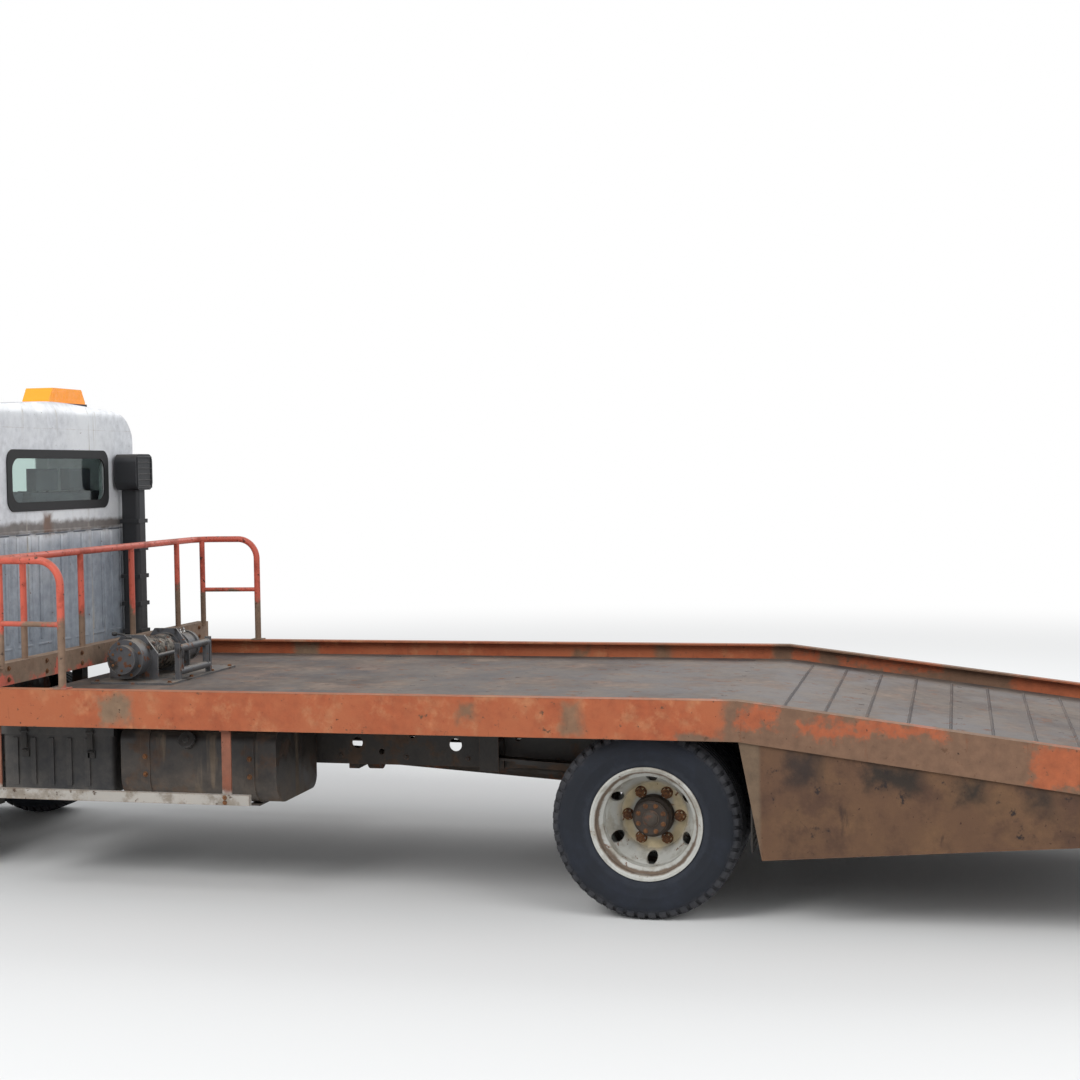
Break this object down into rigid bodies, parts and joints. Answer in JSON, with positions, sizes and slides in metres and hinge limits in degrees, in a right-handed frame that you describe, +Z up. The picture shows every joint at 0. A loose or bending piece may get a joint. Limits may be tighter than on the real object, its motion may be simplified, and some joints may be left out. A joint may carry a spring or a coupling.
{
  "type": "flatbed tow truck",
  "caption": "Light cab-over flatbed tow truck with a tilting cab, winch and a platform bent down at the tail.",
  "frame": {"origin": "on the ground, at the middle of the truck's length and width", "axes": "+X rearwards along the truck, -Y its left side, +Z up"},
  "size_m": [7.52, 2.3, 2.325],
  "materials": {
    "chassis_black": "semi-matt black paint, dusty and oily",
    "cast_iron": "bare castings with rust and oil",
    "rail_orange": "faded orange paint worn through to brown steel",
    "deck_steel": "worn bare deck plate, dusty",
    "tail_rust": "brown rusty plate with dark smears",
    "ramp_steel": "worn brown steel",
    "hoop_red": "faded coral red paint, worn at the feet",
    "winch_grey": "dark grey winch paint",
    "rope_steel": "greasy wire rope",
    "tank_black": "black paint under road dust",
    "black_plastic": "matt black moulded plastic",
    "guard_grey": "light grey paint",
    "flap_rubber": "black rubber sheet",
    "exhaust_steel": "rusty pipe",
    "lamp_red": "red lens",
    "lamp_clear": "clear lens",
    "beacon_amber": "amber lens",
    "cab_white": "white enamel, dirty low down",
    "trim_grey": "grey moulded plastic",
    "seat_fabric": "dark woven seat cloth",
    "window_glass": "clear green-tinged glass",
    "seal_rubber": "black rubber",
    "tyre_rubber": "dusty black rubber",
    "rim_silver": "light grey wheel paint with ochre dirt"
  },
  "bodies": {
    "chassis": {"frame_rails": "chassis_black", "cross_members": "chassis_black", "spring_hangers": "chassis_black", "side_brackets": "chassis_black", "platform_runners": "chassis_black", "platform_bearers": "chassis_black", "side_rails": "rail_orange", "deck_plate": "deck_steel", "tail_panels": "tail_rust", "ramps": "ramp_steel", "headboard": "hoop_red", "winch": "winch_grey", "engine_block": "cast_iron", "driveline": "cast_iron", "rear_axle": "chassis_black", "front_axle": "chassis_black", "leaf_springs": "chassis_black", "fuel_tank": "tank_black", "battery_box": "black_plastic", "air_tanks": "tank_black", "side_guards": "guard_grey", "mudflaps": "flap_rubber", "bumper": "guard_grey", "air_intake": "black_plastic", "exhaust": "exhaust_steel", "rear_lamps": "lamp_red"},
    "cab": {"cab_floor": "cab_white", "cab_back": "cab_white", "cab_sides": "cab_white", "cab_steps": "cab_white", "cab_roof": "cab_white", "cab_front": "cab_white", "cab_glass": "window_glass", "window_seals": "seal_rubber", "grille": "black_plastic", "headlamps": "lamp_clear", "dashboard": "trim_grey", "seat_cushions": "seat_fabric", "seat_backs": "seat_fabric", "mirrors": "black_plastic", "beacon": "beacon_amber", "arch_liners": "black_plastic"},
    "door_left": {"door_left": "cab_white", "door_glass_left": "window_glass"},
    "door_right": {"door_right": "cab_white", "door_glass_right": "window_glass"},
    "steering_wheel": {"steering_wheel": "trim_grey"},
    "knuckle_left": {"knuckle_left": "cast_iron"},
    "knuckle_right": {"knuckle_right": "cast_iron"},
    "tie_rod": {"tie_rod": "chassis_black"},
    "wheel_front_left": {"tyre_front_left": "tyre_rubber", "rim_front_left": "rim_silver"},
    "wheel_front_right": {"tyre_front_right": "tyre_rubber", "rim_front_right": "rim_silver"},
    "wheels_rear_left": {"tyres_rear_left": "tyre_rubber", "rims_rear_left": "rim_silver"},
    "wheels_rear_right": {"tyres_rear_right": "tyre_rubber", "rims_rear_right": "rim_silver"},
    "winch_drum": {"winch_drum": "rope_steel"}
  },
  "joints": [
    {"name": "cab_tilt", "type": "hinge", "parent": "chassis", "child": "cab", "pos_m": [-3.64, 0, 0.56], "axis": [0, -1, 0], "range_deg": [0, 45]},
    {"name": "door_left_swing", "type": "hinge", "parent": "cab", "child": "door_left", "pos_m": [-3.56, -0.872, 1.08], "axis": [0, 0, -1], "range_deg": [0, 70]},
    {"name": "door_right_swing", "type": "hinge", "parent": "cab", "child": "door_right", "pos_m": [-3.56, 0.872, 1.08], "axis": [0, 0, 1], "range_deg": [0, 70]},
    {"name": "steer_left", "type": "hinge", "parent": "chassis", "child": "knuckle_left", "pos_m": [-2.68, -0.62, 0.399], "axis": [0, 0, 1], "range_deg": [-33, 33]},
    {"name": "steer_right", "type": "hinge", "parent": "chassis", "child": "knuckle_right", "pos_m": [-2.68, 0.62, 0.399], "axis": [0, 0, 1], "range_deg": [-33, 33]},
    {"name": "tie_rod_swing", "type": "hinge", "parent": "knuckle_left", "child": "tie_rod", "pos_m": [-2.49, -0.555, 0.327], "axis": [0, 0, 1], "range_deg": [-33, 33]},
    {"name": "steering_wheel_turn", "type": "hinge", "parent": "cab", "child": "steering_wheel", "pos_m": [-3.15, -0.4, 1.4], "axis": [0.5736, 0, 0.8192], "range_deg": [-660, 660]},
    {"name": "wheel_front_left_spin", "type": "hinge", "parent": "knuckle_left", "child": "wheel_front_left", "pos_m": [-2.68, -0.73, 0.399], "axis": [0, 1, 0], "continuous": true},
    {"name": "wheel_front_right_spin", "type": "hinge", "parent": "knuckle_right", "child": "wheel_front_right", "pos_m": [-2.68, 0.73, 0.399], "axis": [0, 1, 0], "continuous": true},
    {"name": "wheels_rear_left_spin", "type": "hinge", "parent": "chassis", "child": "wheels_rear_left", "pos_m": [1.07, -0.827, 0.399], "axis": [0, 1, 0], "continuous": true},
    {"name": "wheels_rear_right_spin", "type": "hinge", "parent": "chassis", "child": "wheels_rear_right", "pos_m": [1.07, 0.827, 0.399], "axis": [0, 1, 0], "continuous": true},
    {"name": "winch_drum_turn", "type": "hinge", "parent": "chassis", "child": "winch_drum", "pos_m": [-1.65, 0, 0.968], "axis": [0, 1, 0], "continuous": true}
  ],
  "couplings": [
    {"joint": "steer_right", "follows": "steer_left", "ratio": 1},
    {"joint": "tie_rod_swing", "follows": "steer_left", "ratio": -1},
    {"joint": "steering_wheel_turn", "follows": "steer_left", "ratio": 20}
  ]
}
